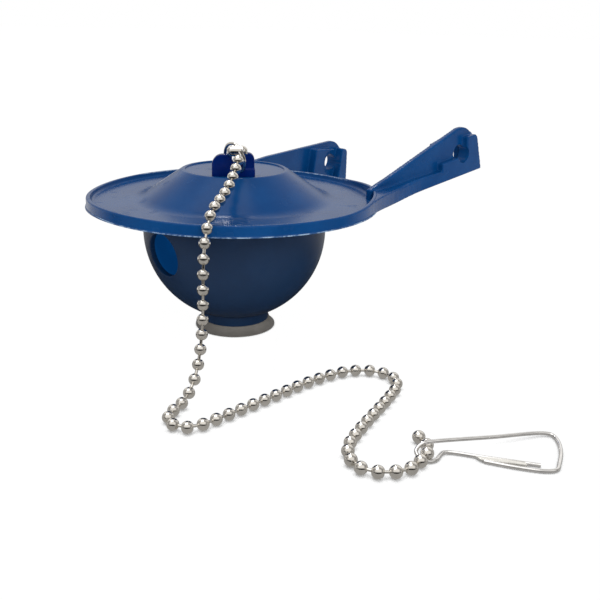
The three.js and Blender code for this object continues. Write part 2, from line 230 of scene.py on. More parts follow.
# %% [markdown]
# ## Node groups for the finishes
# Moulded rubber and plastic share three effects: a slow change of tone, a fine grain, and a few
# specks of dust. Each is a node group, built once, with its sizes as named inputs. All of them
# read Object coordinates, so the patterns stay on the piece.

# %% Node helpers
def new_group(name, inputs, outputs):
    group = bpy.data.node_groups.new(name, "ShaderNodeTree")
    for label, kind, value in inputs:
        socket = group.interface.new_socket(label, in_out="INPUT", socket_type="NodeSocket" + kind)
        if value is not None:
            socket.default_value = value
    for label, kind in outputs:
        group.interface.new_socket(label, in_out="OUTPUT", socket_type="NodeSocket" + kind)
    return group, group.nodes.new("NodeGroupInput"), group.nodes.new("NodeGroupOutput")


def node(tree, kind, **settings):
    made = tree.nodes.new(kind)
    for key, value in settings.items():
        setattr(made, key, value)
    return made


def feed(tree, target, **values):
    """Sets or links inputs by name. An underscore in a name stands for a space."""
    for label, value in values.items():
        socket = target.inputs[label.replace("_", " ")]
        if isinstance(value, bpy.types.NodeSocket):
            tree.links.new(value, socket)
        else:
            socket.default_value = value


def mapped(tree, value, low, high, to_low=0.0, to_high=1.0):
    ranged = node(tree, "ShaderNodeMapRange", interpolation_type="SMOOTHSTEP")
    feed(tree, ranged, Value=value, From_Min=low, From_Max=high, To_Min=to_low, To_Max=to_high)
    return ranged.outputs["Result"]


def combined(tree, operation, a, b):
    math_node = node(tree, "ShaderNodeMath", operation=operation)
    for socket, value in zip(math_node.inputs, (a, b)):
        if isinstance(value, bpy.types.NodeSocket):
            tree.links.new(value, socket)
        else:
            socket.default_value = value
    return math_node.outputs[0]


def blended(tree, share, first, second):
    mix = node(tree, "ShaderNodeMix", data_type="RGBA")
    for index, value in ((0, share), (6, first), (7, second)):
        if isinstance(value, bpy.types.NodeSocket):
            tree.links.new(value, mix.inputs[index])
        else:
            mix.inputs[index].default_value = value
    return mix.outputs[2]


# %% Slow change of tone
def make_tone_group():
    group, given, out = new_group(
        "slow_tone",
        [("Vector", "Vector", None), ("Size", "Float", 9.0), ("Colour", "Color", None), ("Second", "Color", None)],
        [("Colour", "Color"), ("Mask", "Float")])
    scale = combined(group, "DIVIDE", 1 / MM, given.outputs["Size"])
    cloud = node(group, "ShaderNodeTexNoise")
    feed(group, cloud, Vector=given.outputs["Vector"], Scale=scale, Detail=5.0, Roughness=0.62)
    mask = mapped(group, cloud.outputs["Fac"], 0.36, 0.66)
    colour = blended(group, mask, given.outputs["Colour"], given.outputs["Second"])
    feed(group, out, Colour=colour, Mask=mask)
    return group


tone_group = make_tone_group()
print("built node group", tone_group.name)


# %% Fine grain
def make_grain_group():
    group, given, out = new_group(
        "moulded_grain",
        [("Vector", "Vector", None), ("Size", "Float", 0.6), ("Pits", "Float", 0.3)],
        [("Height", "Float"), ("Mask", "Float")])
    scale = combined(group, "DIVIDE", 1 / MM, given.outputs["Size"])
    fine = node(group, "ShaderNodeTexNoise")
    feed(group, fine, Vector=given.outputs["Vector"], Scale=scale, Detail=3.0, Roughness=0.7)
    slow = node(group, "ShaderNodeTexNoise")
    feed(group, slow, Vector=given.outputs["Vector"], Scale=combined(group, "MULTIPLY", scale, 0.12), Detail=2.0)
    pits = mapped(group, slow.outputs["Fac"], 0.56, 0.72)
    height = combined(group, "ADD", fine.outputs["Fac"],
                      combined(group, "MULTIPLY", slow.outputs["Fac"], given.outputs["Pits"]))
    feed(group, out, Height=height, Mask=pits)
    return group


grain_group = make_grain_group()
print("built node group", grain_group.name)


# %% Specks of dust
def make_speck_group():
    group, given, out = new_group(
        "dust_specks",
        [("Vector", "Vector", None), ("Spacing", "Float", 5.0), ("Share", "Float", 0.3), ("Width", "Float", 0.05)],
        [("Mask", "Float")])
    scale = combined(group, "DIVIDE", 1 / MM, given.outputs["Spacing"])
    cells = node(group, "ShaderNodeTexVoronoi")
    feed(group, cells, Vector=given.outputs["Vector"], Scale=scale)
    dot = combined(group, "LESS_THAN", cells.outputs["Distance"], given.outputs["Width"])
    split = node(group, "ShaderNodeSeparateColor")
    feed(group, split, Color=cells.outputs["Color"])
    chosen = combined(group, "LESS_THAN", split.outputs["Red"], given.outputs["Share"])
    feed(group, out, Mask=combined(group, "MULTIPLY", dot, chosen))
    return group


speck_group = make_speck_group()
print("built node group", speck_group.name)


# %% Pale mould lines and painted highlight lines
def make_line_group():
    """A thin ring at one radius and one height, both in millimetres, broken here and there."""
    group, given, out = new_group(
        "mould_and_highlight_line",
        [("Vector", "Vector", None), ("Radius", "Float", 40.0), ("Height", "Float", 40.0),
         ("Width", "Float", 0.3), ("Breaks", "Float", 0.5)],
        [("Mask", "Float")])
    split = node(group, "ShaderNodeSeparateXYZ")
    feed(group, split, Vector=given.outputs["Vector"])
    x2 = combined(group, "MULTIPLY", split.outputs["X"], split.outputs["X"])
    y2 = combined(group, "MULTIPLY", split.outputs["Y"], split.outputs["Y"])
    radius = combined(group, "DIVIDE", combined(group, "SQRT", combined(group, "ADD", x2, y2), 0), MM)
    height = combined(group, "DIVIDE", split.outputs["Z"], MM)
    mask = 1.0
    for value, label in ((radius, "Radius"), (height, "Height")):
        off = combined(group, "ABSOLUTE", combined(group, "SUBTRACT", value, given.outputs[label]), 0)
        inside = combined(group, "LESS_THAN", off, given.outputs["Width"])
        mask = combined(group, "MULTIPLY", inside, mask)
    cloud = node(group, "ShaderNodeTexNoise")
    feed(group, cloud, Vector=given.outputs["Vector"], Scale=0.35 / MM, Detail=4.0, Roughness=0.75)
    broken = mapped(group, cloud.outputs["Fac"], 0.42, 0.6)
    kept = combined(group, "ADD", combined(group, "MULTIPLY", broken, given.outputs["Breaks"]),
                    combined(group, "SUBTRACT", 1.0, given.outputs["Breaks"]))
    feed(group, out, Mask=combined(group, "MULTIPLY", mask, kept))
    return group


line_group = make_line_group()
print("built node group", line_group.name)

# %% [markdown]
# A material then places these groups with its own values. The Principled shader stays outside the
# groups, and so do the values that are the same all over, such as how strongly it mirrors.

# %% Material helpers
def use_group(tree, group, **values):
    placed = node(tree, "ShaderNodeGroup", node_tree=group)
    feed(tree, placed, **values)
    return placed


def base_material(name):
    material = bpy.data.materials.new(name)
    material.use_nodes = True
    tree = material.node_tree
    shader = tree.nodes["Principled BSDF"]
    where = node(tree, "ShaderNodeTexCoord").outputs["Object"]
    return material, tree, shader, where


def add_bump(tree, shader, height, strength, distance):
    bump = node(tree, "ShaderNodeBump")
    feed(tree, bump, Height=height, Strength=strength, Distance=distance * MM)
    feed(tree, shader, Normal=bump.outputs["Normal"])


def centred(tree, where):
    """The same coordinates, measured from the disc's axis."""
    shift = node(tree, "ShaderNodeMapping")
    feed(tree, shift, Vector=where, Location=(-AXIS_X * MM, 0, 0))
    return shift.outputs["Vector"]


MATT_MIRROR = 0.15


def moulded(name, colour, second, tone_size, grain_size, roughness, dust, bump, lines=(),
            mirror=MATT_MIRROR):
    """Moulded rubber or plastic: a slow tone, a fine grain, a little dust, and pale lines for mould flash and
    painted highlights.
    """
    material, tree, shader, where = base_material(name)
    tone = use_group(tree, tone_group, Vector=where, Size=tone_size, Colour=colour, Second=second)
    grain = use_group(tree, grain_group, Vector=where, Size=grain_size, Pits=0.5)
    specks = use_group(tree, speck_group, Vector=where, Spacing=6.0, Share=dust, Width=0.045)
    shade = blended(tree, specks.outputs["Mask"], tone.outputs["Colour"], (0.55, 0.6, 0.68, 1))
    # Pale rings over the colour: mould flash, and painted highlights along edges.
    for radius, height, width, breaks, pale in lines:
        line = use_group(tree, line_group, Vector=centred(tree, where), Radius=radius, Height=height,
                         Width=width, Breaks=breaks)
        shade = blended(tree, line.outputs["Mask"], shade, pale)
    rough = mapped(tree, grain.outputs["Mask"], 0, 1, roughness, roughness + 0.1)
    feed(tree, shader, Base_Color=shade, Roughness=rough, Specular_IOR_Level=mirror)
    add_bump(tree, shader, grain.outputs["Height"], 0.35, bump)
    return material


PALE_LINE = (0.30, 0.42, 0.58, 1)
# The first ring is the mould flash under the rim's lower edge; the second is a painted highlight along the rim's
# inner top edge.
DISC_LINES = (
    (44.8, 40.75, 0.15, 0.9, PALE_LINE),
    (43.35, 43.85, 0.16, 0.9, PALE_LINE),
)
blue_rubber = moulded("blue_rubber", (0.0015, 0.050, 0.185, 1), (0.003, 0.060, 0.21, 1),
                      11.0, 0.7, 0.24, 0.12, 0.03, DISC_LINES)
# The lug's rubber is the disc's blue made darker and deeper: a painted shade for the dim light on the lug.
lug_rubber_painted_shade = moulded("lug_rubber_painted_shade", (0.0002, 0.011, 0.11, 1), (0.0004, 0.015, 0.13, 1),
                     6.0, 0.7, 0.15, 0.05, 0.02)
navy_plastic = moulded("navy_plastic", (0.002, 0.022, 0.070, 1), (0.003, 0.027, 0.083, 1),
                       16.0, 0.9, 0.5, 0.03, 0.02, mirror=0.4)
grey_plastic = moulded("grey_plastic", (0.19, 0.178, 0.16, 1), (0.22, 0.206, 0.187, 1),
                       5.0, 0.6, 0.55, 0.0, 0.03)


def make_inner_plastic():
    """The bulb's inside: its blue glows a little, a painted light on the inner wall."""
    material, tree, shader, where = base_material("glowing_inner_plastic")
    tone = use_group(tree, tone_group, Vector=where, Size=16.0, Colour=(0.001, 0.03, 0.11, 1),
                     Second=(0.001, 0.036, 0.13, 1))
    # The emission is painted light: the inner wall glows in its own blue.
    feed(tree, shader, Base_Color=tone.outputs["Colour"], Roughness=0.6,
         Emission_Color=tone.outputs["Colour"], Emission_Strength=0.85)
    return material


glowing_inner_plastic = make_inner_plastic()


def bright_metal(name, colour, roughness, wear):
    """Plated steel: a mirror with faint scratches and dull patches."""
    material, tree, shader, where = base_material(name)
    tone = use_group(tree, tone_group, Vector=where, Size=3.0, Colour=colour,
                     Second=tuple(c * 0.86 for c in colour[:3]) + (1,))
    grain = use_group(tree, grain_group, Vector=where, Size=0.35, Pits=0.8)
    rough = mapped(tree, grain.outputs["Mask"], 0, 1, roughness, roughness + wear)
    feed(tree, shader, Base_Color=tone.outputs["Colour"], Metallic=1.0, Roughness=rough)
    add_bump(tree, shader, grain.outputs["Height"], 0.12, 0.02)
    return material


bead_steel = bright_metal("bead_steel", (0.80, 0.77, 0.72, 1), 0.12, 0.12)
wire_steel = bright_metal("wire_steel", (0.88, 0.87, 0.86, 1), 0.08, 0.1)
sheet_steel = bright_metal("sheet_steel", (0.93, 0.92, 0.88, 1), 0.25, 0.1)
print("materials:", ", ".join(m.name for m in bpy.data.materials))

# %% [markdown]
# ## The ball chain
# A ball chain is hollow beads held by short dumbbell wires, so it is limp and has one length. Its
# way is drawn first, because it fixes where the coupling and the clip are. The same points as in
# the CAD source are joined by a centripetal Catmull-Rom curve, and the beads lie on it at equal
# steps.

# %% The chain's way
BEAD = 3.2
BEADS = 62
GROUND = BEAD / 2 + 0.05
LYING = [
    (-52.0, -39.6), (-55.6, -41.2), (-58.2, -43.7), (-58.9, -47.0), (-57.3, -50.0), (-54.0, -51.3),
    (-48.0, -51.5), (-32.7, -51.4), (-16.0, -51.3), (-6.1, -52.6), (-1.8, -54.4), (1.6, -57.4),
    (3.2, -61.5), (2.3, -66.0), (-1.3, -69.3), (-9.4, -72.7), (-25.8, -78.4), (-33.7, -81.7),
    (-38.0, -85.2), (-40.1, -90.0), (-38.6, -94.4), (-35.0, -97.4), (-31.0, -98.5), (-27.2, -97.8),
    (-23.4, -96.6),
]
CHAIN_END = [(-20.9, -94.6, GROUND), (-19.1, -90.7, GROUND)]
HANGING = [
    (-10.9, -14.5, 56.7), (-15.1, -17.8, 54.1), (-20.4, -21.5, 51.1), (-26.6, -25.2, 48.8),
    (-29.7, -27.0, 47.8), (-32.6, -28.9, 46.2), (-35.3, -30.8, 43.5), (-37.2, -32.1, 39.8),
    (-38.8, -33.4, 32.0), (-39.4, -33.8, 22.0), (-40.4, -34.1, 14.0), (-42.7, -35.3, 7.8),
    (-45.1, -36.5, 4.6), (-48.4, -38.0, 2.3),
]
CHAIN_ROUTE = HANGING + [(x, y, GROUND) for x, y in LYING] + CHAIN_END


def spline_piece(p0, p1, p2, p3, steps):
    """One stretch of a centripetal Catmull-Rom curve, from p1 up to p2."""
    gaps = [max((b - a).length, 1e-8) ** 0.5 for a, b in ((p0, p1), (p1, p2), (p2, p3))]
    start = ((p1 - p0) / gaps[0] - (p2 - p0) / (gaps[0] + gaps[1]) + (p2 - p1) / gaps[1]) * gaps[1]
    end = ((p2 - p1) / gaps[1] - (p3 - p1) / (gaps[1] + gaps[2]) + (p3 - p2) / gaps[2]) * gaps[1]
    points = []
    for i in range(steps):
        t = i / steps
        points.append(p1 + start * t + (p2 * 3 - p1 * 3 - start * 2 - end) * t ** 2
                      + (p1 * 2 - p2 * 2 + start + end) * t ** 3)
    return points


def smooth_line(route, steps=24):
    known = [Vector(p) for p in route]
    ends = [known[0] * 2 - known[1]] + known + [known[-1] * 2 - known[-2]]
    line = []
    for i in range(len(known) - 1):
        line += spline_piece(*ends[i:i + 4], steps)
    return line + [known[-1]]


def at_equal_steps(line, count):
    lengths = [0.0]
    for a, b in zip(line, line[1:]):
        lengths.append(lengths[-1] + (b - a).length)
    places = []
    i = 0
    for k in range(count):
        wanted = lengths[-1] * k / (count - 1)
        while i < len(line) - 2 and lengths[i + 1] < wanted:
            i += 1
        share = (wanted - lengths[i]) / max(lengths[i + 1] - lengths[i], 1e-9)
        places.append(line[i].lerp(line[i + 1], min(share, 1)))
    return places, lengths[-1]


chain_line = smooth_line(CHAIN_ROUTE)
bead_places, chain_length = at_equal_steps(chain_line, BEADS)
print("chain", round(chain_length, 1), "mm, one bead every", round(chain_length / (BEADS - 1), 2), "mm")

# %% [markdown]
# A bead is a sphere with a small hole at each end, where its link comes out. One sphere is turned
# to lie along the chain at each place. The link is a thin rod between two beads, with a little
# collar where it enters each.

# %% Beads and links
LINK = 0.8


def along(direction):
    return Vector((0, 0, 1)).rotation_difference(direction).to_matrix()


def add_bead(bm, place, direction):
    made = bmesh.ops.create_uvsphere(bm, u_segments=24, v_segments=14, radius=BEAD / 2)["verts"]
    hole = BEAD / 2 * math.cos(math.radians(24))
    for vert in made:
        if abs(vert.co.z) > hole:
            vert.co.z = math.copysign(hole - 0.12, vert.co.z)
    bmesh.ops.rotate(bm, verts=made, cent=(0, 0, 0), matrix=along(direction))
    bmesh.ops.translate(bm, verts=made, vec=place)


def add_link(bm, start, end):
    span = end - start
    made = bmesh.ops.create_cone(bm, cap_ends=True, segments=10, radius1=LINK / 2, radius2=LINK / 2,
                                 depth=span.length - BEAD / 2)["verts"]
    bmesh.ops.rotate(bm, verts=made, cent=(0, 0, 0), matrix=along(span))
    bmesh.ops.translate(bm, verts=made, vec=(start + end) / 2)


def make_chain():
    bm = bmesh.new()
    for i, place in enumerate(bead_places):
        before = bead_places[max(i - 1, 0)]
        after = bead_places[min(i + 1, BEADS - 1)]
        add_bead(bm, place, after - before)
        if i + 1 < BEADS:
            add_link(bm, place, after)
    return finished(bm, "ball_chain_beads", bead_steel, merge=0)


chain = make_chain()
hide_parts("ball_chain")

# %% [markdown]
# ## The clip
# The clip is one length of spring wire: it goes round the chain's last beads in a small eye, runs
# out as the long leg, turns at the nose and comes back under the clasp. A curve with a round
# section draws it, and it is made a mesh at once.

# %% Clip wire
CLIP_WIRE = 0.95
LIFT = CLIP_WIRE / 2 + 0.03
CLIP_ROUTE = [
    (-15.4, -106.7, LIFT), (-11.9, -113.7, LIFT), (-8.6, -118.6, LIFT), (-6.3, -120.0, LIFT),
    (-3.3, -119.0, LIFT), (2.0, -116.5, LIFT), (6.2, -113.4, LIFT), (7.7, -111.2, 0.6),
    (6.9, -109.6, 0.8), (-6.8, -102.6, 1.9), (-19.8, -96.0, 2.95), (-22.1, -94.9, 3.0),
    (-23.8, -94.3, 2.5), (-25.2, -94.6, 1.7), (-25.7, -96.2, 0.9), (-24.9, -98.2, LIFT),
    (-23.2, -98.9, LIFT), (-21.0, -98.3, LIFT), (-19.0, -98.0, LIFT), (-17.4, -99.6, LIFT),
    (-15.2, -103.4, LIFT), (-7.2, -116.5, LIFT),
]


def tube(line, diameter):
    """A round wire along a line of points, as a bmesh in millimetres."""
    curve = bpy.data.curves.new("wire", "CURVE")
    curve.dimensions = "3D"
    curve.bevel_depth = diameter / 2
    curve.bevel_resolution = 4
    curve.use_fill_caps = True
    spline = curve.splines.new("POLY")
    spline.points.add(len(line) - 1)
    for point, place in zip(spline.points, line):
        point.co = (*place, 1)
    work = bpy.data.objects.new("wire", curve)
    bpy.context.scene.collection.objects.link(work)
    view = bpy.context.evaluated_depsgraph_get()
    mesh = bpy.data.meshes.new_from_object(work.evaluated_get(view))
    bm = bmesh.new()
    bm.from_mesh(mesh)
    bpy.data.objects.remove(work)
    bpy.data.curves.remove(curve)
    bpy.data.meshes.remove(mesh)
    return bm


clip = finished(tube(smooth_line(CLIP_ROUTE, 8), CLIP_WIRE), "clip_spring_wire", wire_steel, sharp=50)
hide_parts("clip_wire")

# %% [markdown]
# The clasp is a strip of thin sheet, folded over both wires of the lower leg. Seen from above it
# is a flat plate with two rolled edges, so a thin plate with rounded edges stands for it.

# %% Clasp
CLASP = [(-15.4, -104.0), (-9.2, -113.6), (-10.2, -114.8), (-15.9, -106.0)]
CLASP_SHEET = 0.45
CLASP_HEIGHT = CLIP_WIRE / 2 + 0.08


def make_clasp():
    bm = bmesh.new()
    face = bm.faces.new([bm.verts.new((x, y, CLASP_HEIGHT)) for x, y in CLASP])
    made = bmesh.ops.extrude_face_region(bm, geom=[face])["geom"]
    moved = [g for g in made if isinstance(g, bmesh.types.BMVert)]
    bmesh.ops.translate(bm, verts=moved, vec=(0, 0, CLASP_SHEET))
    bmesh.ops.bevel(bm, geom=bm.edges[:], offset=0.12, segments=2, affect="EDGES", profile=0.5, material=-1)
    return finished(bm, "clip_clasp_sheet", sheet_steel)


clasp = make_clasp()
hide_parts("clip_clasp")

# %% [markdown]
# ## The ring and its coupling
# The ring goes through the lug's slot under the bar. It is a circle spun round, turned to the way
# in which it hangs in the photograph. The coupling is a short folded sleeve, open in front for the
# first bead and pierced for the ring.

# %% Lug ring
LUG_TURN = math.radians(-40)
LUG_FRONT = -11.9
LUG_DEPTH = 2.6
RING_RADIUS = 4.4
RING_WIRE = 1.0
RING_TURN = math.radians(38)
RING_LEAN = math.radians(14)
RING_CENTRE = (-0.05, LUG_FRONT + LUG_DEPTH / 2, 56.15)


def ring(wire_radius, around, across):
    """A torus that hangs as the lug's ring does."""
    bm = bmesh.new()
    made = bmesh.ops.create_circle(bm, segments=across, radius=wire_radius)
    bmesh.ops.rotate(bm, verts=made["verts"], cent=(0, 0, 0), matrix=Matrix.Rotation(math.pi / 2, 3, "X"))
    bmesh.ops.translate(bm, verts=made["verts"], vec=(RING_RADIUS, 0, 0))
    bmesh.ops.spin(bm, geom=bm.verts[:] + bm.edges[:], cent=(0, 0, 0), axis=(0, 0, 1),
                   angle=2 * math.pi, steps=around, use_merge=True)
    for angle, axis in ((math.pi / 2, "Y"), (RING_TURN, "Z"), (-RING_LEAN, "Y")):
        bmesh.ops.rotate(bm, verts=bm.verts, cent=(0, 0, 0), matrix=Matrix.Rotation(angle, 3, axis))
    bmesh.ops.translate(bm, verts=bm.verts, vec=RING_CENTRE)
    bmesh.ops.rotate(bm, verts=bm.verts, cent=(0, 0, 0), matrix=Matrix.Rotation(LUG_TURN, 3, "Z"))
    bmesh.ops.recalc_face_normals(bm, faces=bm.faces)
    return bm


lug_ring = finished(ring(RING_WIRE / 2, 72, 16), "lug_wire_ring", bead_steel)
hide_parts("lug_ring")

# %% Coupling
SHEET = 0.45
SLEEVE_RADIUS = 1.75
SLEEVE_LENGTH = 5.9
SLEEVE_GAP = 130
SLEEVE_LEAN = 35
SLEEVE_END = 28
PIERCING = (1.5, -1.4, 0.75)
SLEEVE_CENTRE = (0.7, -14.9, 58.7)


def sleeve_section():
    """Half the sleeve cut along its length: (length, radius) pairs round the sheet's thickness."""
    straight = SLEEVE_LENGTH / 2 - SLEEVE_RADIUS * math.cos(math.radians(SLEEVE_END))
    outside = arc(straight, 0, SLEEVE_RADIUS, SLEEVE_END, 90, 8)
    outside += arc(-straight, 0, SLEEVE_RADIUS, 90, 180 - SLEEVE_END, 8)
    inside = arc(-straight, 0, SLEEVE_RADIUS - SHEET, 180 - SLEEVE_END, 90, 8)
    return outside + inside + arc(straight, 0, SLEEVE_RADIUS - SHEET, 90, SLEEVE_END, 8)


def make_coupling():
    bm = bmesh.new()
    first = SLEEVE_GAP / 2
    face = bm.faces.new([bm.verts.new((s, 0, r)) for s, r in sleeve_section()])
    turned = bmesh.ops.spin(bm, geom=[face] + face.edges[:] + face.verts[:], cent=(0, 0, 0), axis=(1, 0, 0),
                            angle=math.radians(360 - SLEEVE_GAP), steps=40)
    print("sleeve's last face has", len(turned["geom_last"]), "parts")
    turn = math.radians(first - 180 - SLEEVE_LEAN)
    bmesh.ops.rotate(bm, verts=bm.verts, cent=(0, 0, 0), matrix=Matrix.Rotation(turn, 3, "X"))
    bmesh.ops.recalc_face_normals(bm, faces=bm.faces)
    made = cut(bm, rod(PIERCING, 0.36, 2.0, (0, -1, 0.35), 20))
    bmesh.ops.translate(made, verts=made.verts, vec=SLEEVE_CENTRE)
    bmesh.ops.rotate(made, verts=made.verts, cent=(0, 0, 0), matrix=Matrix.Rotation(LUG_TURN, 3, "Z"))
    made = cut(made, ring(RING_WIRE / 2 + 0.3, 72, 16))
    return finished(made, "chain_coupling_sleeve", bead_steel)


coupling = make_coupling()
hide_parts("chain_coupling")

# %% [markdown]
# The chain, with everything on it, is one free cord: it starts at the first bead at the lug, and
# its far end is the clip. Its length is printed.


print("the cord is", round(chain_length), "mm long")

# %% [markdown]
# ## The disc and the cone
# The disc is a thin rubber web with a raised rim, a cone and a flat top with a shallow recess. It
# is round, so one half section is drawn as (radius, height) pairs and spun. The small rounds at
# the rim and the lip are in the section, because they catch the light.

# %% Disc section
DISC_RADIUS = 44.5
UNDERSIDE = 40.6
WEB_TOP = 42.4
RIM_TOP = 43.9
RIM_INNER = 43.2
FLASH = 0.35
TOP_RADIUS = 16.3
TOP_HEIGHT = 51.3
TOP_RECESS = 0.4
TOP_LIP = 0.8
CONE_FOOT = 29.6
CONE_FILLET = 2.4
CONE_WALL = 2.2
BULB_RADIUS = 28.7
BULB_CENTRE = 32.2
BULB_WALL = 1.6
SPIGOT_DEPTH = 2.8
SPIGOT_WALL = 1.6
SEAT_GAP = 0.35
BULB_TOP = UNDERSIDE + 0.6
SLOPE = math.atan2(TOP_HEIGHT - WEB_TOP, CONE_FOOT - TOP_RADIUS)


def bezier(a, b, c, steps):
    shares = [i / steps for i in range(steps + 1)]
    return [tuple((1 - t) ** 2 * p + 2 * t * (1 - t) * q + t * t * r for p, q, r in zip(a, b, c)) for t in shares]


def cone_inside(radius):
    return TOP_HEIGHT - CONE_WALL / math.cos(SLOPE) - (radius - TOP_RADIUS) * math.tan(SLOPE)


def disc_section():
    spigot_outer = math.sqrt((BULB_RADIUS - BULB_WALL) ** 2 - (BULB_TOP - BULB_CENTRE) ** 2) - SEAT_GAP
    rebate_outer = BULB_RADIUS + SEAT_GAP
    spigot_inner = spigot_outer - SPIGOT_WALL
    ceiling = TOP_HEIGHT - TOP_RECESS - 1.8
    ceiling_radius = TOP_RADIUS + (cone_inside(TOP_RADIUS) - ceiling) / math.tan(SLOPE)
    hidden = [(0, ceiling), (ceiling_radius, ceiling), (spigot_inner, cone_inside(spigot_inner)),
              (spigot_inner, UNDERSIDE - SPIGOT_DEPTH), (spigot_outer, UNDERSIDE - SPIGOT_DEPTH),
              (spigot_outer, BULB_TOP), (rebate_outer, BULB_TOP), (rebate_outer, UNDERSIDE)]
    rim = [(DISC_RADIUS + FLASH, UNDERSIDE), (DISC_RADIUS + FLASH, UNDERSIDE + 0.2),
           (DISC_RADIUS + 0.05, UNDERSIDE + 0.42), (DISC_RADIUS, UNDERSIDE + 0.7)]
    rim += arc(DISC_RADIUS - 0.5, RIM_TOP - 0.5, 0.5, 0, 90, 6)
    rim += arc(RIM_INNER + 0.3, RIM_TOP - 0.3, 0.3, 90, 180, 5)
    rim += bezier((RIM_INNER - 0.12, WEB_TOP + 0.7), (RIM_INNER - 0.25, WEB_TOP), (RIM_INNER - 1.1, WEB_TOP), 5)
    foot = bezier((CONE_FOOT + CONE_FILLET, WEB_TOP), (CONE_FOOT, WEB_TOP),
                  (CONE_FOOT - CONE_FILLET * math.cos(SLOPE), WEB_TOP + CONE_FILLET * math.sin(SLOPE)), 8)
    lip = bezier((TOP_RADIUS + 0.45, TOP_HEIGHT - 0.45 * math.tan(SLOPE)), (TOP_RADIUS, TOP_HEIGHT),
                 (TOP_RADIUS - 0.4, TOP_HEIGHT), 5)
    recess = bezier((TOP_RADIUS - TOP_LIP, TOP_HEIGHT), (TOP_RADIUS - TOP_LIP - 0.2, TOP_HEIGHT),
                    (TOP_RADIUS - TOP_LIP - 0.3, TOP_HEIGHT - TOP_RECESS), 4)
    return hidden + rim + foot + lip + recess + [(0, TOP_HEIGHT - TOP_RECESS)]


# %% [markdown]
# ## The lug
# Two cheeks stand on the flat top, with a slot between them and a round bar across it. They are
# drawn as rounded slabs and melted into one skin, as the moulding is.

# %% Lug
LUG_LEFT, LUG_RIGHT = -6.8, 5.8
LUG_LEFT_TOP, LUG_RIGHT_TOP = 57.4, 57.9
LUG_CORNER = 3.2
LUG_RIGHT_CORNER = 2.0
SLOT_LEFT, SLOT_RIGHT = -0.8, 2.4
LUG_BASE_LEFT, LUG_BASE_HEIGHT = -1.5, 2.2
BAR_RADIUS = 1.1
BAR_HEIGHT = 54.4


def make_lug():
    bottom = TOP_HEIGHT - TOP_RECESS - 0.5
    back = LUG_FRONT + LUG_DEPTH
    round_ = 0.5
    left = [(LUG_LEFT, bottom)]
    left += arc(LUG_LEFT + LUG_CORNER, LUG_LEFT_TOP - LUG_CORNER, LUG_CORNER, 180, 90, 8)
    left += arc(SLOT_LEFT - round_, LUG_LEFT_TOP - round_, round_, 90, 0, 4) + [(SLOT_LEFT, bottom)]
    right = [(SLOT_RIGHT, bottom)]
    right += arc(SLOT_RIGHT + round_, LUG_RIGHT_TOP - round_, round_, 180, 90, 4)
    right += arc(LUG_RIGHT - LUG_RIGHT_CORNER, LUG_RIGHT_TOP - LUG_RIGHT_CORNER, LUG_RIGHT_CORNER, 90, 0, 6)
    right += [(LUG_RIGHT, bottom)]
    bm = bmesh.new()
    for outline in (left, right):
        slab(bm, outline, LUG_FRONT, back)
    base_top = bottom + 0.5 + LUG_BASE_HEIGHT
    base = [(LUG_BASE_LEFT, bottom), (LUG_BASE_LEFT, base_top), (LUG_RIGHT + 0.2, base_top),
            (LUG_RIGHT + 0.2, bottom)]
    slab(bm, base, LUG_FRONT - 0.25, back)
    middle = ((SLOT_LEFT + SLOT_RIGHT) / 2, LUG_FRONT + LUG_DEPTH / 2, BAR_HEIGHT)
    bar = rod(middle, BAR_RADIUS, SLOT_RIGHT - SLOT_LEFT + 1.5, (1, 0, 0), 24)
    mesh = bpy.data.meshes.new("bar")
    bar.to_mesh(mesh)
    bar.free()
    bm.from_mesh(mesh)
    bpy.data.meshes.remove(mesh)
    skin = melted(bm, 0.16, 9)
    bmesh.ops.rotate(skin, verts=skin.verts, cent=(0, 0, 0), matrix=Matrix.Rotation(LUG_TURN, 3, "Z"))
    return finished(skin, "chain_lug", lug_rubber_painted_shade, sharp=180)


lug = make_lug()

# %% [markdown]
# ## The arms
# Each arm is a thin upright web with a rail, a block and a rib on its outer face and a boss inside,
# round the pin hole. It is drawn level and straight from slabs, melted into one skin, drilled, and
# only then bent at its root, because a bend on a fine skin stays smooth.

# %% Arm sizes
WEB_OUTER = 30.2
WEB = 2.0
RAIL = 2.2
BOSS = 3.4
ARM_END = 85.5
END_LEAN = 2.2
RIB_WIDTH = 7.6
WEB_START, WEB_START_HEIGHT = 30.0, 45.45
RAIL_START = 31.0
KNEE = (34.0, 46.8)
EAR = (76.6, 49.0)
EAR_RADIUS = 7.6
RIB_TOP = 53.4
PIN = {"near": (75.4, 48.0), "far": (76.5, 48.3)}
PIN_RADIUS = {"near": 3.0, "far": 3.3}
BLOCK_START, BLOCK_TOP = 63.9, 47.2
RAIL_TOPS = [(31.0, 45.0), (50.0, 45.1), (70.0, 44.5)]
NEAR_ROOT = Vector((33.0, -30.0))
RISE_REACH = 34.0
RIM_RISE = 1.5
BOSS_START = {"near": 66.5, "far": 63.0}
BOSS_END = 74.2
INNER_RIB_START, INNER_RIB_TOP = 79.6, 54.3
RECESS = (73.4, 48.2)
RECESS_RADIUS = 5.0
ROOT_FILLET = 90
BEND_LENGTH = 12.0
RISE = {"near": 7.7, "far": -10.0}
SPLAY = {"near": 1.7, "far": 6.0}
ARM_ROOT = math.sqrt((DISC_RADIUS + FLASH) ** 2 - (WEB_OUTER - WEB) ** 2)
BEND_START = ARM_ROOT - 4.2


def rim_rise(x, y):
    """How much higher the rim stands where it runs up into the near arm's rail."""
    share = max(1 - (Vector((x, y)) - NEAR_ROOT).length / RISE_REACH, 0)
    return RIM_RISE * share * share * (3 - 2 * share)


